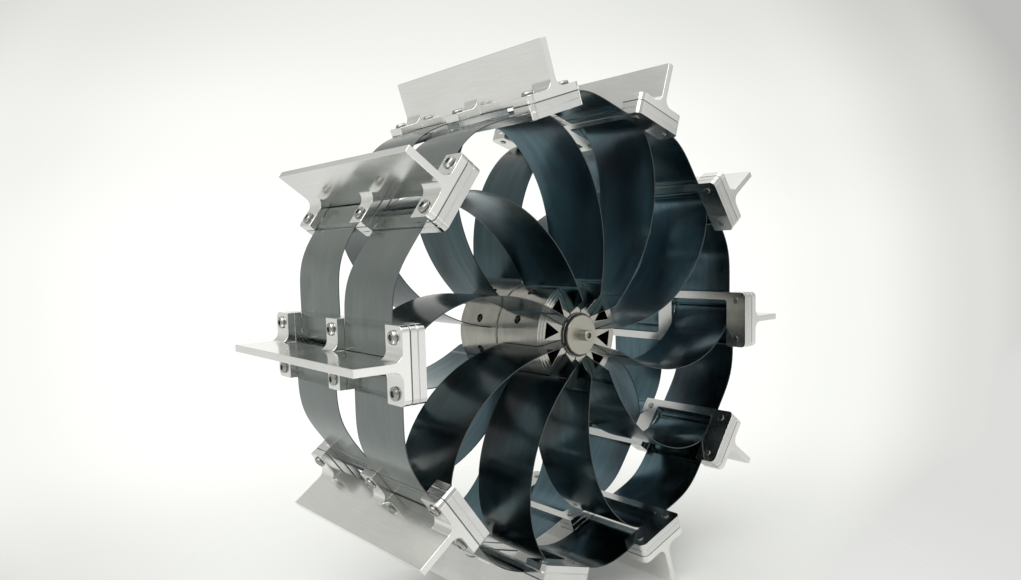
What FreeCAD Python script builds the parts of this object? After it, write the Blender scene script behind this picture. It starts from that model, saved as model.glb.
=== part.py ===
"""A cleated wheel whose rim and spokes are thin spring-steel strips.

Millimetres.  The origin is the wheel's centre and +Y is the wheel's axis, pointing to the
axle's free end.  One cleat is drawn on the +X side, where X is radial and Z runs along the
rim, and is then turned about the axis.  The back half is the front half turned over about X.
"""
import FreeCAD, Part
import math
import os
import re
import Sketcher
from FreeCAD import Placement, Rotation, Vector

DRIVING_SIZES = {
    # rim: ten cleats, each a milled tee bar with clamp plates under its flange
    "cleat_count": 10, "cleat_length": 204, "web_tip_radius": 250, "web_thickness": 6,
    "web_root_fillet": 7.5, "flange_radius": 205.5, "flange_thickness": 6.5, "flange_half": 28,
    "end_clamp_width": 22, "mid_clamp_half": 9, "corner_radius": 5, "notch_radius": 3,
    "spacer_thickness": 5.2, "plate_thickness": 5.6, "spine_width": 8,
    # cleat screws
    "screw_spread": 19.5, "screw_station": 91, "shank_radius": 3, "screw_play": 0.2,
    "head_radius": 5.2, "head_height": 2.9, "head_rounding": 2.2, "screw_tip_out": 0.9,
    "socket_half": 2.3, "socket_depth": 2.2,
    # strips
    "strip_thickness": 0.8, "strip_side_gap": 0.6, "strip_root_radius": 22,
    "leave_handle": 96, "arrive_handle": 35, "flat_start": 12, "rim_handle": 32,
    "web_end_gap": 0.5, "tab_inner_edge": 3.6, "tab_overlap": 1, "full_width_radius": 36,
    # hub, in two halves
    "hub_radius": 48, "hub_end": 57, "seam_half_gap": 0.5, "seam_chamfer": 0.7,
    "rim_step_width": 2.5, "rim_step_depth": 0.8, "hub_slot_angle": 28, "hub_slot_width": 1.1,
    "hub_slot_bottom": 20, "hub_slot_start": 9, "window_tip_radius": 24,
    "window_base_radius": 40, "window_half": 7.5, "window_depth": 38, "hub_bore_radius": 12,
    "hub_screw_angle": 19, "hub_screw_station": 27, "hub_screw_radius": 4,
    "hub_screw_bottom": 41, "hub_screw_recess": 2, "hub_screw_socket": 2,
    # bearings, axle and what holds them
    "bearing_bore": 7.5, "inner_ring_radius": 10.2, "outer_ring_radius": 13.3,
    "bearing_radius": 16, "bearing_width": 9, "bearing_start": 45, "fit_gap": 0.02,
    "ball_count": 9, "ball_radius": 2.2, "race_radius": 2.4, "ball_circle": 11.75,
    "retainer_bore": 12.5, "retainer_radius": 20, "retainer_flange": 1.6,
    "sleeve_radius": 9.8, "front_spacer_width": 5, "axle_front_gap": 0.3,
    "shoulder_radius": 11, "shoulder_width": 3.5, "axle_end_radius": 8, "axle_end": 102,
    "axle_end_chamfer": 1, "axle_thread_radius": 3, "axle_thread_depth": 24,
    "cap_radius": 18, "cap_thickness": 3, "cap_chamfer": 0.7, "cap_bore": 3.2,
    "bolt_head_radius": 5, "bolt_head_height": 9, "bolt_shank_radius": 2.9,
    "bolt_shank_length": 22, "bolt_socket_half": 2.6, "bolt_socket_depth": 4,
}

doc = FreeCAD.newDocument("spring_strip_wheel")
sheet = doc.addObject("Spreadsheet::Sheet", "Params")
for row, (alias, number) in enumerate(DRIVING_SIZES.items(), start=1):
    sheet.set(f"A{row}", alias)
    sheet.set(f"B{row}", str(number))
    sheet.setAlias(f"B{row}", alias)
doc.recompute()

X_AXIS, Y_AXIS, SKETCH_NORMAL = Vector(1, 0, 0), Vector(0, 1, 0), Vector(0, 0, 1)
FRONT_AXIS = -Y_AXIS
TURN_OVER = Placement(Vector(), Rotation(X_AXIS, 180))
PITCH = 360 / sheet.cleat_count


def sheet_words(text):
    """Write each alias in an expression as a reference to its cell."""
    return re.sub(r"[a-z_]{4,}", lambda word: "Params." + word.group() if word.group() in
                  DRIVING_SIZES else word.group(), text)


def bind(item, target, text):
    item.setExpression(target, sheet_words(text))


def value_of(text):
    return float(sheet.evalExpression(sheet_words(text).replace("Params.", "")))


def new_body(label):
    body = doc.addObject("PartDesign::Body", label)
    body.Label = label
    return body


def origin_feature(body, role):
    return next(item for item in body.Origin.OriginFeatures if item.Role == role)


def new_sketch(body, role, height="0", turned="0"):
    """A sketch on an origin plane, lifted along the plane's normal and turned about it."""
    sketch = body.newObject("Sketcher::SketchObject", body.Label + "_sketch")
    sketch.AttachmentSupport = [(origin_feature(body, role), "")]
    sketch.MapMode = "FlatFace"
    turn = Rotation(SKETCH_NORMAL, value_of(turned))
    sketch.AttachmentOffset = Placement(Vector(0, 0, value_of(height)), turn)
    bind(sketch, "AttachmentOffset.Base.z", height)
    return sketch


def new_radial_sketch(body, height, turned):
    """A sketch facing outward, turned about the wheel's axis from the +X side."""
    sketch = new_sketch(body, "YZ_Plane")
    sketch.setExpression("AttachmentOffset.Base.z", None)
    turn = Rotation(X_AXIS, -turned)
    sketch.AttachmentOffset = Placement(turn.multVec(Vector(0, 0, value_of(height))), turn)
    return sketch


def bind_point(sketch, edge, end, place):
    """Tie a point of a sketch to its two coordinates, given as expressions."""
    for axis, (kind, line, text) in enumerate(zip(("DistanceX", "DistanceY"), (-2, -1), place)):
        number = value_of(text)
        if abs(number) < 1e-9:
            sketch.addConstraint(Sketcher.Constraint("PointOnObject", edge, end, line))
            continue
        ends = (-1, 1, edge, end) if number > 0 else (edge, end, -1, 1)
        index = sketch.addConstraint(Sketcher.Constraint(kind, *ends, abs(number)))
        bind(sketch, f"Constraints[{index}]", text if number > 0 else f"-({text})")


def outline(sketch, corners):
    """Straight lines closed through corners, each a pair of expressions."""
    places = [Vector(value_of(across), value_of(along), 0) for across, along in corners]
    first = sketch.GeometryCount
    for place, following in zip(places, places[1:] + places[:1]):
        sketch.addGeometry(Part.LineSegment(place, following))
    for index, corner in enumerate(corners):
        following = first + (index + 1) % len(corners)
        sketch.addConstraint(Sketcher.Constraint("Coincident", first + index, 2, following, 1))
        bind_point(sketch, first + index, 1, corner)


def rectangle(sketch, low, high):
    outline(sketch, [low, (high[0], low[1]), high, (low[0], high[1])])


def circle(sketch, centre, radius):
    place = Vector(value_of(centre[0]), value_of(centre[1]), 0)
    edge = sketch.addGeometry(Part.Circle(place, SKETCH_NORMAL, value_of(radius)))
    bind_point(sketch, edge, 3, centre)
    index = sketch.addConstraint(Sketcher.Constraint("Radius", edge, value_of(radius)))
    bind(sketch, f"Constraints[{index}]", radius)


def hexagon(sketch, centre, half):
    corners = [(f"{centre[0]} + {half} / cos(30) * cos({60 * index + 30})",
                f"{centre[1]} + {half} / cos(30) * sin({60 * index + 30})") for index in range(6)]
    outline(sketch, corners)


def feature(body, kind, sketch, length=None, reverse=False, symmetric=False):
    """A pad, pocket, revolution or groove of a sketch; no length cuts through everything."""
    made = body.newObject("PartDesign::" + kind, f"{body.Label}_{kind.lower()}")
    made.Profile = sketch
    made.Reversed = reverse
    if kind in ("Revolution", "Groove"):
        made.ReferenceAxis = (sketch, ["V_Axis"])
        made.Angle = 360
    elif length is None:
        made.Type = "ThroughAll"
    else:
        bind(made, "Length", length)
    if symmetric:
        made.SideType = "Symmetric"
    doc.recompute()
    return made


def around_axis(body, original, count="cleat_count"):
    """Repeat a feature of a body about the wheel's axis."""
    pattern = body.newObject("PartDesign::PolarPattern", body.Label + "_pattern")
    pattern.Originals = [original]
    pattern.Axis = (origin_feature(body, "Y_Axis"), [""])
    pattern.Angle = 360
    bind(pattern, "Occurrences", count)
    body.Tip = pattern
    doc.recompute()


def fillet(body, radius, curve, wanted):
    """Round the edges of a body that lie on one kind of curve and pass a test."""
    base = body.Tip
    names = [f"Edge{index}" for index, edge in enumerate(base.Shape.Edges, start=1)
             if isinstance(edge.Curve, curve) and wanted(edge.CenterOfMass, edge.tangentAt(0))]
    made = body.newObject("PartDesign::Fillet", body.Label + "_fillet")
    made.Base = (base, names)
    bind(made, "Radius", radius)
    body.Tip = made
    doc.recompute()


def revolved(label, corners, height="0"):
    """A body turned about the wheel's axis from (radius, axial place) corners."""
    body = new_body(label)
    sketch = new_sketch(body, "XY_Plane", height)
    outline(sketch, corners)
    feature(body, "Revolution", sketch)
    return body


def linked(label, source, placement):
    link = doc.addObject("App::Link", label)
    link.LinkedObject = source
    link.LinkTransform = True
    link.Label = label
    link.Placement = placement
    return link


def turned(steps, source_turn=Placement()):
    """The placement of a piece turned by whole cleat pitches, seen from the front."""
    return Placement(Vector(), Rotation(FRONT_AXIS, PITCH * steps)).multiply(source_turn)


def grouped(label, source, placements):
    """One sub-part holding several separate copies of a small piece."""
    group = doc.addObject("Part::Compound", label)
    group.Label = label
    group.Links = [linked(f"{label}_{index}", source, placement)
                   for index, placement in enumerate(placements, start=1)]
    return group


def screw_places():
    return [(f"{row} * screw_station", f"{side} * screw_spread")
            for row in (-1, 0, 1) for side in (-1, 1)]


def make_cleat():
    """A tee bar: the web is the tread, and the flange is left only at three clamp stations."""
    body = new_body("cleat_master")
    tee = new_sketch(body, "XZ_Plane")
    back, face = "flange_radius", "flange_radius + flange_thickness"
    half_web = "web_thickness / 2"
    outline(tee, [(back, "-flange_half"), (face, "-flange_half"), (face, "-" + half_web),
                  ("web_tip_radius", "-" + half_web), ("web_tip_radius", half_web),
                  (face, half_web), (face, "flange_half"), (back, "flange_half")])
    feature(body, "Pad", tee, "cleat_length", symmetric=True)
    root = value_of(face)
    fillet(body, "web_root_fillet", Part.Line, lambda middle, along: abs(along.y) > 0.9 and
           abs(middle.x - root) < 0.1 and abs(middle.z) < sheet.web_thickness)
    windows = new_sketch(body, "YZ_Plane")
    for row in (-1, 1):
        for side in (-1, 1):
            rectangle(windows, (f"{row} * mid_clamp_half", f"{side} * {half_web}"),
                      (f"{row} * (cleat_length / 2 - end_clamp_width)",
                       f"{side} * (flange_half + 1)"))
    feature(body, "Pocket", windows, reverse=True)
    holes = new_sketch(body, "YZ_Plane")
    for place in screw_places():
        circle(holes, place, "shank_radius + screw_play")
    feature(body, "Pocket", holes, reverse=True)
    round_plan_corners(body)
    return body


def round_plan_corners(body):
    """Round the four corners that a clamped piece shows in plan."""
    reach = sheet.cleat_length / 2 - 1
    fillet(body, "corner_radius", Part.Line, lambda middle, along: abs(along.x) > 0.9 and
           abs(middle.y) > reach and abs(middle.z) > sheet.flange_half - 1)


def make_spacer_set():
    """Three blocks under one cleat's flange, a strip's thickness away from the plate."""
    body = new_body("spacer_master")
    plan = new_sketch(body, "YZ_Plane", "flange_radius - strip_thickness - spacer_thickness")
    for row in (-1, 1):
        rectangle(plan, (f"{row} * (cleat_length / 2 - end_clamp_width)", "-flange_half"),
                  (f"{row} * cleat_length / 2", "flange_half"))
    rectangle(plan, ("-mid_clamp_half", "-flange_half"), ("mid_clamp_half", "flange_half"))
    for place in screw_places():
        circle(plan, place, "shank_radius + screw_play")
    feature(body, "Pad", plan, "spacer_thickness")
    round_plan_corners(body)
    return body


def make_clamp_plate():
    """The S-shaped inner plate: three bars joined by one narrow spine in each window."""
    body = new_body("plate_master")
    height = "flange_radius - 2 * strip_thickness - spacer_thickness - plate_thickness"
    plan = new_sketch(body, "YZ_Plane", height)
    end, window = "cleat_length / 2", "(cleat_length / 2 - end_clamp_width)"
    half_plate = [(f"-{end}", "-flange_half"), (f"-{window}", "-flange_half"),
                  (f"-{window}", "flange_half - spine_width"),
                  ("-mid_clamp_half", "flange_half - spine_width"),
                  ("-mid_clamp_half", "-flange_half"), (end, "-flange_half")]
    other_half = [(f"-({across})", f"-({along})") for across, along in half_plate]
    outline(plan, half_plate + other_half)
    for place in screw_places():
        circle(plan, place, "shank_radius + screw_play")
    feature(body, "Pad", plan, "plate_thickness")
    round_plan_corners(body)
    inside = sheet.flange_half - 1
    fillet(body, "notch_radius", Part.Line, lambda middle, along: abs(along.x) > 0.9 and
           abs(middle.z) < inside)
    return body


def make_screw_set():
    """Six socket screws of one cleat, heads on the flange, tips just through the plate."""
    body = new_body("screw_master")
    tip = "flange_radius - 2 * strip_thickness - spacer_thickness - plate_thickness - screw_tip_out"
    face = "flange_radius + flange_thickness"
    shanks = new_sketch(body, "YZ_Plane", tip)
    heads = new_sketch(body, "YZ_Plane", face)
    sockets = new_sketch(body, "YZ_Plane", f"{face} + head_height")
    for place in screw_places():
        circle(shanks, place, "shank_radius")
        circle(heads, place, "head_radius")
        hexagon(sockets, place, "socket_half")
    feature(body, "Pad", shanks, f"{face} - ({tip})")
    feature(body, "Pad", heads, "head_height")
    top = value_of(f"{face} + head_height")
    fillet(body, "head_rounding", Part.Circle, lambda middle, along: abs(middle.x - top) < 0.01)
    feature(body, "Pocket", sockets, "socket_depth")
    return body


def polar(radius, degrees):
    return Vector(radius * math.cos(math.radians(degrees)), radius * math.sin(math.radians(degrees)), 0)


def strip_poles():
    """The strip's middle line as stretches of poles: straight ones and cubic ones."""
    inner_layer = value_of("flange_radius - 1.5 * strip_thickness - spacer_thickness")
    outer_layer = value_of("flange_radius - strip_thickness / 2")
    slot, half = -sheet.hub_slot_angle, sheet.flange_half
    root, mouth = polar(sheet.strip_root_radius, slot), polar(sheet.hub_radius, slot)
    rim_start, rim_end = Vector(inner_layer, sheet.flat_start, 0), Vector(inner_layer, half, 0)
    along = Vector(0, 1, 0)
    outward, next_along = polar(outer_layer, PITCH), polar(1, PITCH + 90)
    arrival = outward - next_along * half
    finish = outward - next_along * sheet.web_end_gap
    spoke = [mouth, mouth + polar(sheet.leave_handle, slot),
             rim_start - along * sheet.arrive_handle, rim_start]
    rim = [rim_end, rim_end + along * sheet.rim_handle,
           arrival - next_along * sheet.rim_handle, arrival]
    return [[root, mouth], spoke, [rim_start, rim_end], rim, [arrival, finish]]


def shifted(poles, distance):
    """The same stretch moved sideways, which keeps its end directions."""
    start, end = poles[1] - poles[0], poles[-1] - poles[-2]
    normals = [Vector(-way.y, way.x, 0).normalize() for way in (start, end)]
    half = len(poles) // 2
    return [pole + normals[index >= half] * distance for index, pole in enumerate(poles)]


def stretch_edge(poles):
    if len(poles) == 2:
        return Part.LineSegment(*poles)
    curve = Part.BSplineCurve()
    curve.buildFromPoles(poles, False, 3)
    return curve


def strip_outline(sketch):
    """Both faces of the bent strip, closed at its two ends."""
    half = sheet.strip_thickness / 2
    stretches = strip_poles()
    one = [shifted(poles, half) for poles in stretches]
    other = [list(reversed(shifted(poles, -half))) for poles in reversed(stretches)]
    loop = one + [[one[-1][-1], other[0][0]]] + other + [[other[-1][-1], one[0][0]]]
    for poles in loop:
        sketch.addGeometry(stretch_edge(poles))
    for index in range(len(loop)):
        following = (index + 1) % len(loop)
        sketch.addConstraint(Sketcher.Constraint("Coincident", index, 2, following, 1))
        sketch.addConstraint(Sketcher.Constraint("Block", index))


def clamp_tabs(sketch, neck_low, neck_high):
    """The strip's two side tabs in one cleat, and the necks that join them to its edges.

    The end tab's corners are cut in two chords, to stay inside the clamps' round corners.
    """
    end, window = "cleat_length / 2", "(cleat_length / 2 - end_clamp_width)"
    inward = f"-({window} - tab_overlap)"
    leg, arc_leg = "corner_radius", "corner_radius * (1 - sqrt(0.5))"
    outline(sketch, [(f"-{end}", f"-flange_half + {leg}"),
                     (f"-{end} + {arc_leg}", f"-flange_half + {arc_leg}"),
                     (f"-{end} + {leg}", "-flange_half"), (f"-{window}", "-flange_half"),
                     (f"-{window}", neck_low), (inward, neck_low), (inward, neck_high),
                     (f"-{window}", neck_high), (f"-{window}", "flange_half"),
                     (f"-{end} + {leg}", "flange_half"),
                     (f"-{end} + {arc_leg}", f"flange_half - {arc_leg}"),
                     (f"-{end}", f"flange_half - {leg}")])
    for side in (-1, 1):
        circle(sketch, ("-screw_station", f"{side} * screw_spread"), "shank_radius + screw_play")
    outward = "-(mid_clamp_half + tab_overlap)"
    outline(sketch, [("-tab_inner_edge", "-flange_half"), ("-mid_clamp_half", "-flange_half"),
                     ("-mid_clamp_half", neck_low), (outward, neck_low), (outward, neck_high),
                     ("-mid_clamp_half", neck_high), ("-mid_clamp_half", "flange_half"),
                     ("-tab_inner_edge", "flange_half")])


def make_front_strip():
    """From its hub slot out to its own cleat's inner layer, and on to the next one's outer."""
    body = new_body("strip_master")
    bent = new_sketch(body, "XZ_Plane", "mid_clamp_half + strip_side_gap")
    strip_outline(bent)
    width = "cleat_length / 2 - end_clamp_width - mid_clamp_half - 2 * strip_side_gap"
    feature(body, "Pad", bent, width)
    beyond = new_sketch(body, "XY_Plane")
    rim_edge = "-(cleat_length / 2 - end_clamp_width)"
    outline(beyond, [("0", "-hub_end"), ("strip_root_radius", "-hub_end"),
                     ("full_width_radius", rim_edge), ("full_width_radius", "-cleat_length"),
                     ("0", "-cleat_length")])
    feature(body, "Groove", beyond)
    inner = new_sketch(body, "YZ_Plane", "flange_radius - 2 * strip_thickness - spacer_thickness")
    clamp_tabs(inner, "flat_start", "flange_half - strip_side_gap")
    feature(body, "Pad", inner, "strip_thickness")
    outer = new_radial_sketch(body, "flange_radius - strip_thickness", PITCH)
    clamp_tabs(outer, "-(flange_half - strip_side_gap)", "-web_end_gap")
    feature(body, "Pad", outer, "strip_thickness")
    return body


def make_hub_half():
    """One half of the hub, with a slot for each strip and a window between slots."""
    step, drop = "rim_step_width", "rim_step_depth"
    seam, rim = "-seam_half_gap", "hub_radius"
    body = revolved("hub_master", [
        ("hub_bore_radius", seam), (f"{rim} - seam_chamfer", seam),
        (rim, f"{seam} - seam_chamfer"), (rim, f"-hub_end + 2 * {drop}"),
        (f"{rim} - {step}", f"-hub_end + 2 * {drop}"), (f"{rim} - {step}", f"-hub_end + {drop}"),
        (f"{rim} - 2 * {step}", f"-hub_end + {drop}"), (f"{rim} - 2 * {step}", "-hub_end"),
        ("bearing_radius + fit_gap", "-hub_end"), ("bearing_radius + fit_gap", "-bearing_start"),
        ("hub_bore_radius", "-bearing_start")])
    slot = new_sketch(body, "XZ_Plane", "hub_slot_start", "-hub_slot_angle")
    rectangle(slot, ("hub_slot_bottom", "-hub_slot_width / 2"),
              ("hub_radius + 1", "hub_slot_width / 2"))
    around_axis(body, feature(body, "Pocket", slot, "hub_end", reverse=True))
    window = new_sketch(body, "XZ_Plane", "hub_end", "-hub_slot_angle + 180 / cleat_count")
    outline(window, [("window_tip_radius", "0"), ("window_base_radius", "-window_half"),
                     ("window_base_radius", "window_half")])
    around_axis(body, feature(body, "Pocket", window, "window_depth"))
    hole = new_radial_sketch(body, "hub_screw_bottom", -sheet.hub_screw_angle)
    circle(hole, ("-hub_screw_station", "0"), "hub_screw_radius + fit_gap")
    around_axis(body, feature(body, "Pocket", hole, "hub_radius", reverse=True))
    return body


def make_hub_screw():
    """One recessed set screw in the front half's rim."""
    body = new_body("hub_screw_master")
    shank = new_radial_sketch(body, "hub_screw_bottom", -sheet.hub_screw_angle)
    circle(shank, ("-hub_screw_station", "0"), "hub_screw_radius")
    length = "hub_radius - hub_screw_recess - hub_screw_bottom"
    feature(body, "Pad", shank, length)
    socket = new_radial_sketch(body, "hub_radius - hub_screw_recess", -sheet.hub_screw_angle)
    hexagon(socket, ("-hub_screw_station", "0"), "hub_screw_socket")
    feature(body, "Pocket", socket, "socket_depth")
    return body


def make_bearing_ring(label, low, high):
    """A ball bearing's ring with its race, at the hub's front end."""
    body = revolved(label, [
        (low, "-bearing_start"), (high, "-bearing_start"),
        (high, "-bearing_start - bearing_width"), (low, "-bearing_start - bearing_width")])
    race = new_sketch(body, "XY_Plane")
    circle(race, ("ball_circle", "-bearing_start - bearing_width / 2"), "race_radius")
    feature(body, "Groove", race)
    return body


def make_balls():
    """The front bearing's balls."""
    ball = doc.addObject("Part::Sphere", "ball_master")
    bind(ball, "Radius", "ball_radius")
    bind(ball, "Placement.Base.x", "ball_circle")
    bind(ball, "Placement.Base.y", "-bearing_start - bearing_width / 2")
    doc.recompute()
    return ball


def make_retainer():
    """A flanged ring that keeps the front bearing's outer ring in its seat."""
    seat = "bearing_radius"
    return revolved("retainer_master", [
        ("retainer_bore", "-hub_end - retainer_flange"),
        ("retainer_radius", "-hub_end - retainer_flange"), ("retainer_radius", "-hub_end"),
        (seat, "-hub_end"), (seat, "-bearing_start - bearing_width"),
        ("outer_ring_radius", "-bearing_start - bearing_width"),
        ("retainer_bore", "-bearing_start - bearing_width - 1")])


def make_axle():
    """The fixed axle, with a shoulder and a free end behind the wheel."""
    nose = "-bearing_start - bearing_width - front_spacer_width + axle_front_gap"
    shaft = "bearing_bore - fit_gap"
    shoulder = "bearing_start + bearing_width"
    body = revolved("axle_shaft", [
        ("0", nose), (shaft, nose), (shaft, shoulder), ("shoulder_radius", shoulder),
        ("shoulder_radius", f"{shoulder} + shoulder_width"),
        ("axle_end_radius", f"{shoulder} + shoulder_width"),
        ("axle_end_radius", "axle_end - axle_end_chamfer"),
        ("axle_end_radius - axle_end_chamfer", "axle_end"), ("0", "axle_end")])
    thread = new_sketch(body, "XZ_Plane", f"-({nose})")
    circle(thread, ("0", "0"), "axle_thread_radius")
    feature(body, "Pocket", thread, "axle_thread_depth")
    return body


def make_tube(label, bore, radius, start, end):
    return revolved(label, [(bore, start), (radius, start), (radius, end), (bore, end)])


CAP_BACK = "-bearing_start - bearing_width - front_spacer_width"


def make_cap():
    """The round cap that the axle bolt draws against the front spacer."""
    front = f"{CAP_BACK} - cap_thickness"
    return revolved("axle_cap", [
        ("cap_bore", CAP_BACK), ("cap_radius", CAP_BACK), ("cap_radius", f"{front} + cap_chamfer"),
        ("cap_radius - cap_chamfer", front), ("cap_bore", front)])


def make_axle_bolt():
    """A tall round head with a hexagon socket, standing out of the cap."""
    seat = f"{CAP_BACK} - cap_thickness"
    body = revolved("axle_bolt", [
        ("0", f"{seat} - bolt_head_height"),
        ("bolt_head_radius - cap_chamfer", f"{seat} - bolt_head_height"),
        ("bolt_head_radius", f"{seat} - bolt_head_height + cap_chamfer"),
        ("bolt_head_radius", seat), ("bolt_shank_radius", seat),
        ("bolt_shank_radius", f"{seat} + bolt_shank_length"),
        ("0", f"{seat} + bolt_shank_length")])
    socket = new_sketch(body, "XZ_Plane", f"-({seat} - bolt_head_height)")
    hexagon(socket, ("0", "0"), "bolt_socket_half")
    feature(body, "Pocket", socket, "bolt_socket_depth")
    return body


def build():
    """Every sub-part, in the order of assembly from the axle outward."""
    inner_ring = make_bearing_ring("inner_ring_master", "bearing_bore", "inner_ring_radius")
    outer_ring = make_bearing_ring("outer_ring_master", "outer_ring_radius", "bearing_radius")
    retainer, hub_half, hub_screw = make_retainer(), make_hub_half(), make_hub_screw()
    both_ends = [Placement(), TURN_OVER]
    ball_turns = [Placement(Vector(), Rotation(Y_AXIS, 360 / sheet.ball_count * index))
                  for index in range(int(sheet.ball_count))]
    steps = range(int(sheet.cleat_count))
    parts = [
        make_axle(),
        grouped("bearing_inner_rings", inner_ring, both_ends),
        make_tube("distance_sleeve", "bearing_bore", "sleeve_radius",
                  "-bearing_start", "bearing_start"),
        make_tube("front_spacer", "bearing_bore", "inner_ring_radius", CAP_BACK,
                  "-bearing_start - bearing_width"),
        make_cap(), make_axle_bolt(),
        grouped("bearing_balls", make_balls(),
                [end.multiply(turn) for end in both_ends for turn in ball_turns]),
        grouped("bearing_outer_rings", outer_ring, both_ends),
        linked("front_retainer", retainer, Placement()),
        linked("back_retainer", retainer, TURN_OVER),
        linked("front_hub_half", hub_half, Placement()),
        linked("back_hub_half", hub_half, TURN_OVER),
        grouped("hub_set_screws", hub_screw,
                [turned(step, end) for end in both_ends for step in steps]),
    ]
    cleat, plate, strip = make_cleat(), make_clamp_plate(), make_front_strip()
    for step in steps:
        number = f"{step + 1:02d}"
        parts += [linked("cleat_" + number, cleat, turned(step)),
                  linked("clamp_plate_" + number, plate, turned(step)),
                  linked("front_strip_" + number, strip, turned(step)),
                  linked("back_strip_" + number, strip, turned(step, TURN_OVER))]
    parts += [grouped("clamp_spacers", make_spacer_set(), [turned(step) for step in steps]),
              grouped("cleat_screws", make_screw_set(), [turned(step) for step in steps])]
    doc.recompute()
    return parts


def check_and_write(parts):
    """Stop on any failed object or bad solid, then write one file for each sub-part."""
    failed = [item.Label for item in doc.Objects if {"Invalid", "Error"} & set(item.State)]
    if failed:
        raise RuntimeError("failed objects: " + ", ".join(failed))
    os.makedirs("parts", exist_ok=True)
    for part in parts:
        shape = Part.getShape(part)
        if shape.isNull() or not shape.isValid() or not shape.Solids:
            raise RuntimeError("bad shape: " + part.Label)
        shape.exportStep(f"parts/{part.Label}.step")
        print(f"{part.Label}: {len(shape.Solids)} solids, {shape.Volume / 1000:.2f} cm3")


check_and_write(build())
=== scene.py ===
"""A cleated spring-strip wheel: its finished meshes, materials, light and camera.

Metres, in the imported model's frame: the origin is the wheel's centre and +Y runs along the
axle to its free end.  A strip is drawn for the cleat on the +X side, where x is radial and z
runs along the rim, and is then turned about the axle to its own cleat.
"""
import math
import bmesh
import bpy
from mathutils import Matrix, Vector


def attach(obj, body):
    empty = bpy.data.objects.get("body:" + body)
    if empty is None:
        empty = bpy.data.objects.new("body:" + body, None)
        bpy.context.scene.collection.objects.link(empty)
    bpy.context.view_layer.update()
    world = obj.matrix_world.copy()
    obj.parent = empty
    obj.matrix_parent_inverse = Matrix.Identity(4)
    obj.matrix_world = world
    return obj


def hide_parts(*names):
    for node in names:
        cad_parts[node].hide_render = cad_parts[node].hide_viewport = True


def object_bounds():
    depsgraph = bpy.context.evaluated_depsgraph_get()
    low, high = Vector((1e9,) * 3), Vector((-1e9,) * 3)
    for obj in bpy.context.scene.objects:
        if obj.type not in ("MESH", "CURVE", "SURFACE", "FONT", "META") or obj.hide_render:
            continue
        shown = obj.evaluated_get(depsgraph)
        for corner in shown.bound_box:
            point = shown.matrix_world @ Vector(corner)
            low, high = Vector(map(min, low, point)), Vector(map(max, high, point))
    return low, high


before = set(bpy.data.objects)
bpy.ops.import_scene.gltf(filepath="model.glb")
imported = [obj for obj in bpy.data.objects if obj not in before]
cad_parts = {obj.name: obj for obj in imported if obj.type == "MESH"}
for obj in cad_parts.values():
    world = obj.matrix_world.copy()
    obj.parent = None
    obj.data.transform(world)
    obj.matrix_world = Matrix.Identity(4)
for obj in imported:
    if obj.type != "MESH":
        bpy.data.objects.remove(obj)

CAD_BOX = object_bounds()
MM = 0.001

# sizes that the strips share with the cleats and the hub
CLEAT_COUNT = 10
PITCH = math.radians(360 / CLEAT_COUNT)
FLANGE_RADIUS = 205.5 * MM
FLANGE_HALF = 28 * MM
SPACER_THICKNESS = 5.2 * MM
STRIP_THICKNESS = 0.8 * MM
CLEAT_END = 102 * MM
END_CLAMP_EDGE = 80 * MM
MID_CLAMP_EDGE = 9 * MM
STRIP_SIDE_GAP = 0.6 * MM
STRIP_ROOT_RADIUS = 22 * MM
HUB_RADIUS = 48 * MM
HUB_END = 57 * MM
FULL_WIDTH_RADIUS = 36 * MM
SLOT_ANGLE = math.radians(-28)
LEAVE_HANDLE = 96 * MM
ARRIVE_HANDLE = 35 * MM
RIM_HANDLE = 32 * MM
FLAT_START = 12 * MM
WEB_END_GAP = 0.5 * MM
TAB_INNER_EDGE = 3.6 * MM
TAB_OVERLAP = 1 * MM
SCREW_STATION = 91 * MM
SCREW_SPREAD = 19.5 * MM
HOLE_RADIUS = 3.2 * MM
CORNER_RADIUS = 5 * MM

# how finely the strips are drawn
SPOKE_STEPS = 96
RIM_STEPS = 64
ROOT_STEPS = 13
FLAT_STEPS = 4
ACROSS_STEPS = 8
EDGE_ROUNDING = 0.16 * MM
EDGE_CORNER_SHARE = 0.3
EDGE_SUPPORT = 0.4 * MM
HOLE_STEPS = 24

# how a copied CAD mesh is cleaned and how its sharp edges are rounded
WELD_DISTANCE = 0.002 * MM
FLAT_ANGLE = math.radians(0.6)
SHARP_ANGLE = math.radians(32)
ROUNDING_SEGMENTS = 2
CLEAT_ROUNDING = 0.45 * MM
TURNED_ROUNDING = 0.3 * MM
RING_ROUNDING = 0.25 * MM
SMALL_ROUNDING = 0.2 * MM
SET_SCREW_ROUNDING = 0.12 * MM


# ---------------------------------------------------------------- node recipes

# a Mix node's colour sockets, whose names are shared with its number sockets
MIX_FIRST, MIX_SECOND, MIX_RESULT = 6, 7, 2

# how alike the rounded and the plain normal are on an unworn and on a fully worn spot
UNWORN_LIKENESS, WORN_LIKENESS = 0.995, 0.93


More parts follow.
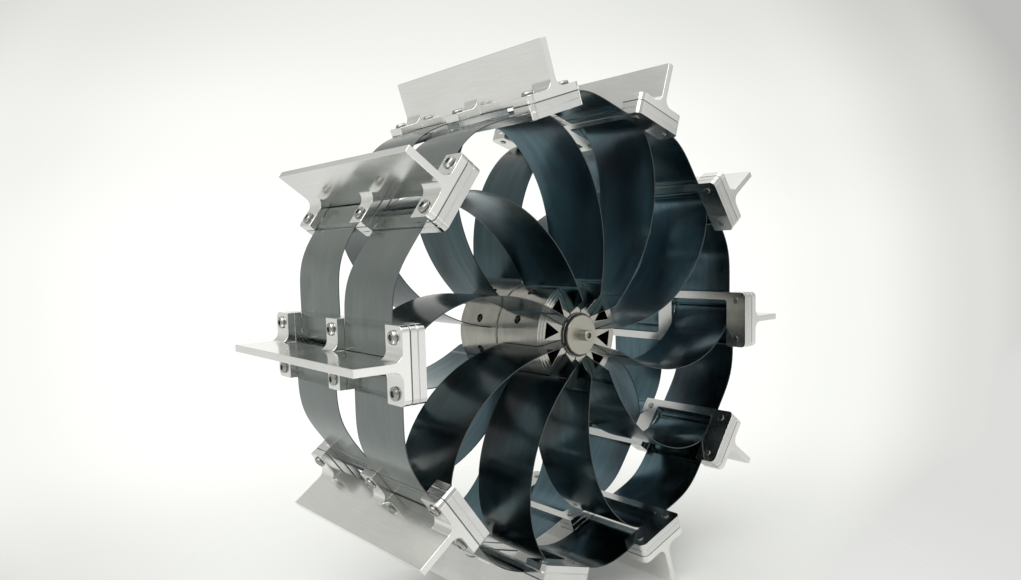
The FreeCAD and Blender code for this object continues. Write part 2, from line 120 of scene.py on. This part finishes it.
class Recipe:
    """Short ways to add nodes to one material and to link them."""

    def __init__(self, name):
        self.material = bpy.data.materials.new(name)
        self.material.use_nodes = True
        self.tree = self.material.node_tree
        self.shader = self.tree.nodes["Principled BSDF"]

    def add(self, kind, settings=None, **inputs):
        """A new node; an underscore in an input's name stands for a space."""
        node = self.tree.nodes.new("ShaderNode" + kind)
        for key, value in (settings or {}).items():
            setattr(node, key, value)
        for key, value in inputs.items():
            self.plug(node.inputs[key.replace("_", " ")], value)
        return node

    def plug(self, socket, value):
        """Link a socket to the value's node, or set it where the value is plain."""
        if isinstance(value, bpy.types.NodeSocket):
            self.tree.links.new(value, socket)
        else:
            socket.default_value = value

    def maths(self, operation, first, second=0.0):
        node = self.tree.nodes.new("ShaderNodeMath")
        node.operation = operation
        self.plug(node.inputs[0], first)
        self.plug(node.inputs[1], second)
        return node.outputs[0]

    def stretched(self, source, scale):
        return self.add("Mapping", Vector=source, Scale=scale).outputs["Vector"]

    def noise(self, vector, detail=4.0, roughness=0.55, distortion=0.0):
        node = self.add("TexNoise", Vector=vector, Scale=1.0, Detail=detail,
                        Roughness=roughness, Distortion=distortion)
        return node.outputs["Fac"]

    def ramp(self, value, low, high, start=0.0, end=1.0):
        """A smooth change from start to end while the value goes from low to high."""
        node = self.add("MapRange", {"interpolation_type": "SMOOTHSTEP"}, Value=value)
        limits = {"From Min": low, "From Max": high, "To Min": start, "To Max": end}
        for key, number in limits.items():
            node.inputs[key].default_value = number
        return node.outputs["Result"]

    def mixed(self, factor, first, second):
        node = self.add("Mix", {"data_type": "RGBA"})
        self.plug(node.inputs[0], factor)
        self.plug(node.inputs[MIX_FIRST], first)
        self.plug(node.inputs[MIX_SECOND], second)
        return node.outputs[MIX_RESULT]

    def blend(self, first, second, share):
        """Two numbers added up, the first one's share being as given and the rest the other's."""
        return self.maths("ADD", self.maths("MULTIPLY", first, share),
                          self.maths("MULTIPLY", second, 1 - share))

    def attribute(self, name):
        return self.add("Attribute", {"attribute_name": name}).outputs["Fac"]

    def object_place(self):
        return self.add("TexCoord").outputs["Object"]

    def about_axle(self, place):
        """A place's distance from the axle, and how far along the axle it is."""
        parts = self.add("SeparateXYZ", Vector=place).outputs
        squares = [self.maths("MULTIPLY", parts[axis], parts[axis]) for axis in "XZ"]
        return self.maths("SQRT", self.maths("ADD", *squares)), parts["Y"]

    def worn_edges(self, radius):
        """1 along the rounded edges of a piece, 0 on its flats."""
        rounded = self.add("Bevel", {"samples": 4}, Radius=radius).outputs["Normal"]
        plain = self.add("NewGeometry").outputs["Normal"]
        alike = self.add("VectorMath", {"operation": "DOT_PRODUCT"})
        self.plug(alike.inputs[0], rounded)
        self.plug(alike.inputs[1], plain)
        return self.ramp(alike.outputs["Value"], UNWORN_LIKENESS, WORN_LIKENESS)

    def bumped(self, height, strength, distance):
        node = self.add("Bump", Height=height, Strength=strength, Distance=distance)
        self.plug(self.shader.inputs["Normal"], node.outputs["Normal"])

    def finish(self, colour, roughness, metallic=1.0):
        """The finished material, with its colour and roughness plugged into the shader."""
        self.plug(self.shader.inputs["Base Color"], colour)
        self.plug(self.shader.inputs["Roughness"], roughness)
        self.shader.inputs["Metallic"].default_value = metallic
        return self.material


def colour(red, green, blue):
    return (red, green, blue, 1.0)


WORN_ALUMINIUM = colour(0.93, 0.93, 0.91)
WORN_STEEL = colour(0.86, 0.86, 0.84)
BRUSH_GRAIN = (2200, 45, 2200)
TURNING_PITCH = 2600


def brushed_metal(name, light, dark, smooth, rough):
    """Milled bar: fine streaks along the axle's direction, soft clouds, brighter worn edges."""
    recipe = Recipe(name)
    place = recipe.object_place()
    streaks = recipe.noise(recipe.stretched(place, BRUSH_GRAIN), 3.0)
    clouds = recipe.noise(recipe.stretched(place, (22, 14, 22)), 3.0, 0.5, 0.6)
    scratches = recipe.ramp(recipe.noise(recipe.stretched(place, (900, 60, 420)), 2.0), 0.70, 0.76)
    wear = recipe.worn_edges(0.8 * MM)
    tone = recipe.blend(streaks, clouds, 0.55)
    body = recipe.mixed(recipe.ramp(tone, 0.3, 0.7), dark, light)
    worn = recipe.mixed(wear, body, WORN_ALUMINIUM)
    sheen = recipe.maths("ADD", recipe.ramp(clouds, 0.3, 0.7, smooth, rough),
                         recipe.maths("MULTIPLY", streaks, 0.1))
    sheen = recipe.maths("SUBTRACT", sheen, recipe.maths("MULTIPLY", wear, 0.08))
    recipe.bumped(recipe.maths("SUBTRACT", streaks, scratches), 0.06, 0.04 * MM)
    return recipe.finish(worn, sheen)


# painted shade: a near-black mixed in wherever ambient occlusion finds hollows within this reach
PAINTED_SHADE_COLOUR = colour(0.02, 0.02, 0.02)
PAINTED_SHADE_REACH = 2.5 * MM


def turned_metal(name, light, dark, smooth, rough, recess_shade=0.0):
    """Lathe-turned: fine rings about the axle, and painted shade in its hollows when asked for."""
    recipe = Recipe(name)
    place = recipe.object_place()
    radius, along = recipe.about_axle(place)
    rings = recipe.add("CombineXYZ", X=recipe.maths("MULTIPLY", radius, TURNING_PITCH),
                       Y=recipe.maths("MULTIPLY", along, TURNING_PITCH))
    marks = recipe.noise(rings.outputs[0], 3.0, 0.7)
    clouds = recipe.noise(recipe.stretched(place, (60, 60, 60)), 3.0)
    wear = recipe.worn_edges(0.6 * MM)
    tone = recipe.blend(marks, clouds, 0.6)
    body = recipe.mixed(recipe.ramp(tone, 0.3, 0.7), dark, light)
    worn = recipe.mixed(wear, body, WORN_STEEL)
    if recess_shade:
        # painted shade: the colour darkens where ambient occlusion finds hollows, such as screw
        # sockets and heads against pads
        recess = recipe.add("AmbientOcclusion", {"samples": 6}, Distance=PAINTED_SHADE_REACH)
        painted_shade = recipe.ramp(recess.outputs["AO"], 0.75, 0.4, 0.0, recess_shade)
        worn = recipe.mixed(painted_shade, worn, PAINTED_SHADE_COLOUR)
    sheen = recipe.ramp(clouds, 0.3, 0.7, smooth, rough)
    recipe.bumped(marks, 0.18, 0.06 * MM)
    return recipe.finish(worn, sheen)


# where a strip's outer face turns from the spoke's colours to the rim's lighter grey, partly a
# painted reflection of the backdrop
RIM_BLEND_START, RIM_BLEND_END = 160 * MM, 195 * MM

# the strip's colours, each as its darkest and its lightest shade; the face tones are partly blueing
# and partly painted light: brighter blue inside for the lit upper spokes, darker teal and olive
# outside for the shaded lower ones
RIM_GREY = colour(0.205, 0.232, 0.225), colour(0.235, 0.262, 0.252)
INNER_BLUE = colour(0.078, 0.134, 0.158), colour(0.126, 0.202, 0.230)
INNER_INDIGO = colour(0.048, 0.066, 0.080), colour(0.080, 0.104, 0.120)
OUTER_TEAL = colour(0.050, 0.082, 0.094), colour(0.086, 0.132, 0.144)
OUTER_OLIVE = colour(0.036, 0.042, 0.044), colour(0.058, 0.066, 0.066)
STAIN = colour(0.080, 0.105, 0.11)
BARE_EDGE = colour(0.11, 0.115, 0.115)


def spring_steel():
    """Blued strip: bluest on its inner face, duller outside and grey on the rim, in part painted
    light; bare edges.
    """
    recipe = Recipe("blued_spring_steel")
    parts = recipe.add("SeparateXYZ", Vector=recipe.add("UVMap").outputs["UV"]).outputs
    place = recipe.add("CombineXYZ", X=parts["X"], Y=parts["Y"],
                       Z=recipe.attribute("strip_seed")).outputs[0]
    streaks = recipe.noise(recipe.stretched(place, (14, 2400, 7)), 4.0, 0.6)
    broad = recipe.noise(recipe.stretched(place, (9, 150, 7)), 3.0, 0.5)
    clouds = recipe.noise(recipe.stretched(place, (26, 30, 7)), 3.0, 0.5, 0.8)
    shade = recipe.ramp(recipe.blend(streaks, broad, 0.5), 0.3, 0.7)
    shades = (RIM_GREY, INNER_BLUE, INNER_INDIGO, OUTER_TEAL, OUTER_OLIVE)
    grey, blue, indigo, teal, olive = (recipe.mixed(shade, *pair) for pair in shades)
    patches = recipe.noise(recipe.stretched(place, (9, 12, 3)), 2.0, 0.5, 0.4)
    blue = recipe.mixed(recipe.ramp(patches, 0.32, 0.52), indigo, blue)
    teal = recipe.mixed(recipe.ramp(patches, 0.40, 0.66), teal, olive)
    radius, _ = recipe.about_axle(recipe.object_place())
    rim = recipe.ramp(radius, RIM_BLEND_START, RIM_BLEND_END)
    # partly painted light: the face tones light the upper spokes and shade the lower ones, and the
    # rim's grey paints its bright reflection
    body = recipe.mixed(recipe.attribute("inner_face"), recipe.mixed(rim, teal, grey), blue)
    stained = recipe.mixed(recipe.ramp(clouds, 0.45, 0.8, 0.0, 0.25), body, STAIN)
    bare = recipe.mixed(recipe.attribute("bare_edge"), stained, BARE_EDGE)
    sheen = recipe.maths("ADD", recipe.ramp(clouds, 0.3, 0.7, 0.11, 0.19),
                         recipe.maths("MULTIPLY", streaks, 0.1))
    recipe.bumped(streaks, 0.06, 0.03 * MM)
    return recipe.finish(bare, sheen)


ALUMINIUM = brushed_metal("milled_aluminium", light=colour(0.93, 0.93, 0.90),
                          dark=colour(0.83, 0.83, 0.80), smooth=0.06, rough=0.17)
CLAMP_METAL = brushed_metal("clamp_aluminium", light=colour(0.82, 0.82, 0.80),
                            dark=colour(0.70, 0.70, 0.68), smooth=0.08, rough=0.16)
# the screws carry painted shade in their sockets and round their heads
SCREW_STEEL = turned_metal("screw_steel", light=colour(0.52, 0.52, 0.50),
                           dark=colour(0.34, 0.34, 0.33), smooth=0.16, rough=0.28, recess_shade=0.9)
HUB_METAL = turned_metal("turned_hub", light=colour(0.52, 0.51, 0.455),
                         dark=colour(0.33, 0.325, 0.29), smooth=0.13, rough=0.27)
CAP_METAL = turned_metal("turned_cap", light=colour(0.50, 0.49, 0.42),
                         dark=colour(0.40, 0.39, 0.33), smooth=0.3, rough=0.42)
AXLE_STEEL = turned_metal("ground_axle_steel", light=colour(0.62, 0.62, 0.61),
                          dark=colour(0.45, 0.45, 0.45), smooth=0.16, rough=0.28)
BEARING_STEEL = turned_metal("bearing_steel", light=colour(0.68, 0.68, 0.69),
                             dark=colour(0.5, 0.5, 0.52), smooth=0.08, rough=0.16)
BLACK_STEEL = turned_metal("blackened_steel", light=colour(0.10, 0.10, 0.10),
                           dark=colour(0.05, 0.05, 0.05), smooth=0.3, rough=0.45)
STRIP_STEEL = spring_steel()


# ---------------------------------------------------------------- pieces made from the frame

def copied_form(node):
    """The CAD node's faces, welded, with the triangles of each flat face joined."""
    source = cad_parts[node].data
    form = bmesh.new()
    points = [form.verts.new(vertex.co) for vertex in source.vertices]
    for face in source.polygons:
        form.faces.new([points[index] for index in face.vertices])
    bmesh.ops.remove_doubles(form, verts=form.verts, dist=WELD_DISTANCE)
    bmesh.ops.dissolve_limit(form, angle_limit=FLAT_ANGLE, verts=form.verts, edges=form.edges)
    return form


def finished_piece(name, form, material, rounding):
    """A new object from a form: its sharp edges are rounded and its faces shaded smooth."""
    mesh = bpy.data.meshes.new(name)
    form.to_mesh(mesh)
    form.free()
    mesh.shade_smooth()
    mesh.materials.append(material)
    piece = bpy.data.objects.new(name, mesh)
    bpy.context.scene.collection.objects.link(piece)
    if rounding:
        bevel = piece.modifiers.new("edges", "BEVEL")
        bevel.width = rounding
        bevel.segments = ROUNDING_SEGMENTS
        bevel.limit_method = "ANGLE"
        bevel.angle_limit = SHARP_ANGLE
        bevel.use_clamp_overlap = False
        piece.modifiers.new("shading", "WEIGHTED_NORMAL")
    return piece


def refine(node, name, material, rounding, body="wheel"):
    """Stand a finished copy in for a CAD node."""
    piece = finished_piece(name, copied_form(node), material, rounding)
    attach(piece, body)
    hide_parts(node)


for number in range(1, CLEAT_COUNT + 1):
    refine(f"cleat_{number:02}", f"milled_cleat_{number:02}", ALUMINIUM, CLEAT_ROUNDING)
    refine(f"clamp_plate_{number:02}", f"milled_plate_{number:02}", CLAMP_METAL,
           SMALL_ROUNDING)
refine("clamp_spacers", "milled_spacers", CLAMP_METAL, SMALL_ROUNDING)
refine("cleat_screws", "socket_screws", SCREW_STEEL, SMALL_ROUNDING)
for side in ("front", "back"):
    refine(f"{side}_hub_half", f"turned_{side}_hub", HUB_METAL, TURNED_ROUNDING)
    refine(f"{side}_retainer", f"turned_{side}_retainer", BLACK_STEEL, SMALL_ROUNDING)
refine("hub_set_screws", "black_set_screws", BLACK_STEEL, SET_SCREW_ROUNDING)
refine("bearing_outer_rings", "ground_outer_rings", BEARING_STEEL, RING_ROUNDING)
refine("bearing_inner_rings", "ground_inner_rings", BEARING_STEEL, RING_ROUNDING, "axle")
refine("distance_sleeve", "turned_sleeve", AXLE_STEEL, RING_ROUNDING, "axle")
refine("front_spacer", "turned_front_spacer", AXLE_STEEL, RING_ROUNDING, "axle")
refine("axle_shaft", "ground_axle", AXLE_STEEL, TURNED_ROUNDING, "axle")
refine("axle_cap", "turned_cap", CAP_METAL, TURNED_ROUNDING, "axle")
refine("axle_bolt", "pale_bolt", CAP_METAL, TURNED_ROUNDING, "axle")

# the balls keep their CAD mesh, which is already smooth enough, and only get their metal
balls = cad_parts["bearing_balls"]
balls.data.materials.clear()
balls.data.materials.append(BEARING_STEEL)


# ---------------------------------------------------------------- strips

def polar(radius, angle):
    """A point in the strip's drawing plane, by its distance and direction from the axle."""
    return Vector((radius * math.cos(angle), radius * math.sin(angle)))


def strip_stretches():
    """The strip's middle line: straight stretches have two poles and curved ones four."""
    inner_layer = FLANGE_RADIUS - 1.5 * STRIP_THICKNESS - SPACER_THICKNESS
    outer_layer = FLANGE_RADIUS - STRIP_THICKNESS / 2
    root, mouth = polar(STRIP_ROOT_RADIUS, SLOT_ANGLE), polar(HUB_RADIUS, SLOT_ANGLE)
    rim_start, rim_end = Vector((inner_layer, FLAT_START)), Vector((inner_layer, FLANGE_HALF))
    along, next_along = Vector((0, 1)), polar(1, PITCH + math.pi / 2)
    outward = polar(outer_layer, PITCH)
    arrival, end = outward - next_along * FLANGE_HALF, outward - next_along * WEB_END_GAP
    spoke = [mouth, mouth + polar(LEAVE_HANDLE, SLOT_ANGLE), rim_start - along * ARRIVE_HANDLE,
             rim_start]
    rim = [rim_end, rim_end + along * RIM_HANDLE, arrival - next_along * RIM_HANDLE, arrival]
    return [([root, mouth], ROOT_STEPS), (spoke, SPOKE_STEPS),
            ([rim_start, rim_end], FLAT_STEPS), (rim, RIM_STEPS), ([arrival, end], FLAT_STEPS)]


def point_on(poles, share):
    """A stretch's point and direction, by repeated halving between its poles."""
    while len(poles) > 2:
        poles = [first.lerp(second, share) for first, second in zip(poles, poles[1:])]
    return poles[0].lerp(poles[1], share), (poles[1] - poles[0]).normalized()


def strip_line():
    """Points, sideways directions and lengths so far along the strip's middle line."""
    line, length, before = [], 0.0, None
    for poles, steps in strip_stretches():
        for step in range(steps + 1):
            point, way = point_on(poles, step / steps)
            if before is not None:
                length += (point - before).length
            before = point
            line.append((point, Vector((-way.y, way.x)), length))
    return line


def front_edge(radius):
    """How far forward the strip reaches: cut back to the hub's end face at its root."""
    share = (radius - STRIP_ROOT_RADIUS) / (FULL_WIDTH_RADIUS - STRIP_ROOT_RADIUS)
    return min(END_CLAMP_EDGE - STRIP_SIDE_GAP, HUB_END + (END_CLAMP_EDGE - HUB_END) * share)


def strip_section(near, far):
    """(across, thickness, edge) round the strip: two flat faces and two rounded edges."""
    half, cut = STRIP_THICKNESS / 2, EDGE_ROUNDING
    soft = cut * EDGE_CORNER_SHARE
    inset = cut + EDGE_SUPPORT
    lower = [(near + inset + (far - near - 2 * inset) * k / ACROSS_STEPS, -half, 0)
             for k in range(ACROSS_STEPS + 1)]
    lower = [(near + cut, -half, 0)] + lower + [(far - cut, -half, 0)]
    upper = [(across, half, edge) for across, _, edge in reversed(lower)]
    far_edge = [(far - soft, -half + soft, 1), (far, -half + cut, 1), (far, half - cut, 1),
                (far - soft, half - soft, 1)]
    near_edge = [(near + soft, half - soft, 1), (near, half - cut, 1), (near, -half + cut, 1),
                 (near + soft, -half + soft, 1)]
    return lower + far_edge + upper + near_edge


def strip_band(form, layers):
    """The strip's band from the hub slot to the next cleat's web."""
    rows = []
    far = -MID_CLAMP_EDGE - STRIP_SIDE_GAP
    for point, sideways, length in strip_line():
        row = []
        near = -front_edge(point.length)
        for across, depth, edge in strip_section(near, far):
            place = point + sideways * depth
            vertex = form.verts.new((place.x, across, place.y))
            vertex[layers["bare_edge"]] = edge
            vertex[layers["inner_face"]] = 1.0 if depth > 0 else 0.0
            row.append((vertex, (length, across)))
        rows.append(row)
    count = len(rows[0])
    for before, after in zip(rows, rows[1:]):
        for k in range(count):
            corners = [before[k], before[(k + 1) % count], after[(k + 1) % count], after[k]]
            face = form.faces.new([vertex for vertex, _ in corners])
            for loop, (_, place) in zip(face.loops, corners):
                loop[layers["uv"]].uv = place
    form.faces.new([vertex for vertex, _ in reversed(rows[0])])
    form.faces.new([vertex for vertex, _ in rows[-1]])


STEEL_SLOT, MILLED_SLOT = 0, 1


def flat_tab(form, layers, corners, holes, lowest, bright):
    """A flat tab of the strip, drawn as (across, along) corners and round holes.

    A bright tab's side faces take the milled metal, and its flat faces stay blued steel.
    """
    angles = [2 * math.pi * step / HOLE_STEPS for step in range(HOLE_STEPS)]
    ring = [(HOLE_RADIUS * math.cos(angle), HOLE_RADIUS * math.sin(angle)) for angle in angles]
    loops = [corners] + [[(across + right, along + up) for right, up in ring]
                         for across, along in holes]
    edges = []
    for loop in loops:
        points = [form.verts.new((lowest, across, along)) for across, along in loop]
        edges += [form.edges.new(pair) for pair in zip(points, points[1:] + points[:1])]
    filled = bmesh.ops.triangle_fill(form, edges=edges, use_beauty=True)
    faces = [item for item in filled["geom"] if isinstance(item, bmesh.types.BMFace)]
    raised = bmesh.ops.extrude_face_region(form, geom=faces)["geom"]
    tops = [item for item in raised if isinstance(item, bmesh.types.BMVert)]
    bmesh.ops.translate(form, verts=tops, vec=(STRIP_THICKNESS, 0, 0))
    form.normal_update()
    for face in {face for item in edges + tops for face in item.link_faces} | set(faces):
        for loop in face.loops:
            loop[layers["uv"]].uv = (loop.vert.co.z, loop.vert.co.y)
        is_side = abs(face.normal.x) < 0.5
        face.material_index = MILLED_SLOT if bright and is_side else STEEL_SLOT


def clamped_tabs(form, layers, lowest, neck_low, neck_high, bright):
    """The end tab and the middle tab of one layer, with the necks that join them to the band.

    A bright layer's edges were milled flush with the clamps.
    """
    leg, arc_leg = CORNER_RADIUS, CORNER_RADIUS * (1 - math.sqrt(0.5))
    neck = -END_CLAMP_EDGE + TAB_OVERLAP
    end_tab = [(-CLEAT_END, -FLANGE_HALF + leg), (-CLEAT_END + arc_leg, -FLANGE_HALF + arc_leg),
               (-CLEAT_END + leg, -FLANGE_HALF), (-END_CLAMP_EDGE, -FLANGE_HALF),
               (-END_CLAMP_EDGE, neck_low), (neck, neck_low), (neck, neck_high),
               (-END_CLAMP_EDGE, neck_high), (-END_CLAMP_EDGE, FLANGE_HALF),
               (-CLEAT_END + leg, FLANGE_HALF), (-CLEAT_END + arc_leg, FLANGE_HALF - arc_leg),
               (-CLEAT_END, FLANGE_HALF - leg)]
    holes = [(-SCREW_STATION, -SCREW_SPREAD), (-SCREW_STATION, SCREW_SPREAD)]
    flat_tab(form, layers, end_tab, holes, lowest, bright)
    neck = -MID_CLAMP_EDGE - TAB_OVERLAP
    middle_tab = [(-TAB_INNER_EDGE, -FLANGE_HALF), (-MID_CLAMP_EDGE, -FLANGE_HALF),
                  (-MID_CLAMP_EDGE, neck_low), (neck, neck_low), (neck, neck_high),
                  (-MID_CLAMP_EDGE, neck_high), (-MID_CLAMP_EDGE, FLANGE_HALF),
                  (-TAB_INNER_EDGE, FLANGE_HALF)]
    flat_tab(form, layers, middle_tab, [], lowest, bright)


def strip_tabs(form, layers):
    """Tabs in the strip's own cleat, under the spacers, and in the next one, over them."""
    inside = FLANGE_HALF - STRIP_SIDE_GAP
    clamped_tabs(form, layers, FLANGE_RADIUS - STRIP_THICKNESS, -inside, -WEB_END_GAP, False)
    form.transform(Matrix.Rotation(-PITCH, 4, "Y"))
    clamped_tabs(form, layers, FLANGE_RADIUS - 2 * STRIP_THICKNESS - SPACER_THICKNESS,
                 FLAT_START, inside, True)


def add_strip(number, side):
    """One strip, with its band and its clamped tabs, at its own cleat."""
    form = bmesh.new()
    layers = {"uv": form.loops.layers.uv.new("UVMap")}
    for name in ("bare_edge", "inner_face", "strip_seed"):
        layers[name] = form.verts.layers.float.new(name)
    strip_tabs(form, layers)
    strip_band(form, layers)
    for vertex in form.verts:
        vertex[layers["strip_seed"]] = number + (0.5 if side == "back" else 0.0)
    bmesh.ops.recalc_face_normals(form, faces=form.faces)
    if side == "back":
        form.transform(Matrix.Rotation(math.pi, 4, "X"))
    place = Matrix.Rotation(-PITCH * (number - 1), 4, "Y")
    form.transform(place)
    piece = finished_piece(f"spring_{side}_strip_{number:02}", form, STRIP_STEEL, 0)
    piece.data.materials.append(CLAMP_METAL)
    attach(piece, "wheel")
    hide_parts(f"{side}_strip_{number:02}")


for number in range(1, CLEAT_COUNT + 1):
    for side in ("front", "back"):
        add_strip(number, side)


# ---------------------------------------------------------------- floor, light and camera

FLOOR_RADIUS = 1.0
FLOOR_CORNERS = 96
FADE_START, FADE_END = 0.12, 0.62
FLOOR_DARK, FLOOR_LIGHT = colour(0.83, 0.84, 0.82), colour(0.87, 0.88, 0.86)

# the backdrop's brightest direction, and grey levels as (place, level) stops: the glow by how
# near a direction is to the brightest one, the others by height from straight down to straight up
BRIGHTEST_WAY = (0.56, 0.82, -0.08)
GLOW_STOPS = ((0.0, 0.40), (0.2, 0.46), (0.5, 0.69), (0.62, 0.76), (0.74, 0.52), (0.80, 0.74),
              (0.87, 0.94), (0.95, 1.06))
WALL_STOPS = ((0.31, 0.82), (0.40, 1.0), (0.50, 1.0), (0.57, 0.94), (0.65, 0.82), (0.775, 0.80),
              (0.85, 0.6))
CEILING_STOPS = ((0.80, 0.0), (0.925, 0.6), (1.0, 0.8))
GROUND_STOPS = ((0.425, 0.72), (0.5, 0.5))
GREEN_TINT, BLUE_TINT = 1.005, 0.985

# the camera's direction from the wheel in radians, and its place from the wheel's centre in
# cleat lengths, along its own backward, right and up directions
CAMERA_AZIMUTH, CAMERA_ELEVATION, CAMERA_ROLL = -0.697, 0.090, -0.0245
CAMERA_BACK, CAMERA_RIGHT, CAMERA_UP = 3.608, -0.1175, 0.058
CLEAT_LENGTH = 2 * CLEAT_END

# sensor and lens in millimetres, and the shift as a share of the picture's width
SENSOR_WIDTH, FOCAL_LENGTH, CAMERA_SHIFT = 36, 27.26, 0.0274


def pale_floor():
    """A plain pale sheet level with the resting wheel's lowest edges, which fades out around it."""
    recipe = Recipe("pale_floor")
    place = recipe.object_place()
    clouds = recipe.noise(recipe.stretched(place, (3, 3, 3)), 3.0)
    tone = recipe.mixed(clouds, FLOOR_DARK, FLOOR_LIGHT)
    distance = recipe.add("VectorMath", {"operation": "LENGTH"})
    recipe.plug(distance.inputs[0], place)
    fading = recipe.ramp(distance.outputs["Value"], FADE_START, FADE_END, 1.0, 0.0)
    recipe.plug(recipe.shader.inputs["Alpha"], fading)
    floor_material = recipe.finish(tone, recipe.ramp(clouds, 0.3, 0.7, 0.6, 0.7), 0.0)
    angles = [2 * math.pi * k / FLOOR_CORNERS for k in range(FLOOR_CORNERS)]
    corners = [(FLOOR_RADIUS * math.cos(angle), FLOOR_RADIUS * math.sin(angle), CAD_BOX[0].z)
               for angle in angles]
    mesh = bpy.data.meshes.new("floor")
    mesh.from_pydata(corners, [], [range(FLOOR_CORNERS)])
    mesh.materials.append(floor_material)
    floor = bpy.data.objects.new("floor", mesh)
    bpy.context.scene.collection.objects.link(floor)


def studio_world():
    """A pale backdrop, brightest low down behind the wheel, and a soft bright ceiling."""
    world = bpy.data.worlds.new("studio")
    world.use_nodes = True
    tree = world.node_tree
    place = tree.nodes.new("ShaderNodeTexCoord").outputs["Generated"]
    toward = tree.nodes.new("ShaderNodeVectorMath")
    toward.operation = "DOT_PRODUCT"
    toward.inputs[1].default_value = Vector(BRIGHTEST_WAY).normalized()
    tree.links.new(place, toward.inputs[0])
    glow = level_ramp(tree, toward.outputs["Value"], GLOW_STOPS)
    parts = tree.nodes.new("ShaderNodeSeparateXYZ")
    tree.links.new(place, parts.inputs[0])
    height = tree.nodes.new("ShaderNodeMapRange")
    height.inputs["From Min"].default_value = -1.0
    tree.links.new(parts.outputs["Z"], height.inputs["Value"])
    wall = level_ramp(tree, height.outputs["Result"], WALL_STOPS)
    ceiling = level_ramp(tree, height.outputs["Result"], CEILING_STOPS)
    ground = level_ramp(tree, height.outputs["Result"], GROUND_STOPS)
    level = joined(tree, "MAXIMUM", joined(tree, "MULTIPLY", glow, wall), ground)
    level = joined(tree, "ADD", level, ceiling)
    tree.links.new(level, tree.nodes["Background"].inputs["Color"])
    bpy.context.scene.world = world


def joined(tree, operation, first, second):
    """Two colours joined by one vector operation."""
    node = tree.nodes.new("ShaderNodeVectorMath")
    node.operation = operation
    tree.links.new(first, node.inputs[0])
    tree.links.new(second, node.inputs[1])
    return node.outputs[0]


def level_ramp(tree, value, stops):
    """A smooth ramp of greys with (place, level) stops."""
    ramp = tree.nodes.new("ShaderNodeValToRGB")
    ramp.color_ramp.interpolation = "EASE"
    marks = ramp.color_ramp.elements
    marks.remove(marks[1])
    for index, (position, level) in enumerate(stops):
        mark = marks[0] if index == 0 else marks.new(position)
        mark.position = position
        mark.color = colour(level, level * GREEN_TINT, level * BLUE_TINT)
    tree.links.new(value, ramp.inputs[0])
    return ramp.outputs[0]


def seen_from(azimuth, elevation):
    """The way from the wheel's centre to an onlooker; azimuth 0 is in front, on the -Y side."""
    return Vector((math.sin(azimuth) * math.cos(elevation),
                   -math.cos(azimuth) * math.cos(elevation), math.sin(elevation)))


def soft_light(name, azimuth, elevation, distance, size, power):
    """A square soft box that looks at the wheel's centre."""
    data = bpy.data.lights.new(name, "AREA")
    data.shape = "SQUARE"
    data.size = size
    data.energy = power
    light = bpy.data.objects.new(name, data)
    away = seen_from(math.radians(azimuth), math.radians(elevation))
    light.location = away * distance
    light.rotation_mode = "QUATERNION"
    light.rotation_quaternion = away.to_track_quat("Z", "Y")
    bpy.context.scene.collection.objects.link(light)


def wheel_camera():
    """Low and to the left of the axle, a little rolled, close enough to look wide."""
    back = seen_from(CAMERA_AZIMUTH, CAMERA_ELEVATION)
    level_right = Vector((math.cos(CAMERA_AZIMUTH), math.sin(CAMERA_AZIMUTH), 0))
    level_up = back.cross(level_right)
    right = level_right * math.cos(CAMERA_ROLL) + level_up * math.sin(CAMERA_ROLL)
    up = level_up * math.cos(CAMERA_ROLL) - level_right * math.sin(CAMERA_ROLL)
    data = bpy.data.cameras.new("camera")
    data.sensor_width = SENSOR_WIDTH
    data.lens = FOCAL_LENGTH
    data.shift_y = CAMERA_SHIFT
    camera = bpy.data.objects.new("camera", data)
    place = back * CAMERA_BACK + right * CAMERA_RIGHT + up * CAMERA_UP
    stance = Matrix((right, up, back)).transposed().to_4x4()
    stance.translation = place * CLEAT_LENGTH
    camera.matrix_world = stance
    bpy.context.scene.collection.objects.link(camera)
    bpy.context.scene.camera = camera


pale_floor()
studio_world()
soft_light("key", azimuth=-75, elevation=50, distance=2.0, size=1.8, power=24)
soft_light("fill", azimuth=30, elevation=4, distance=2.4, size=1.8, power=2.8)
wheel_camera()
bpy.context.scene.view_settings.view_transform = "Standard"
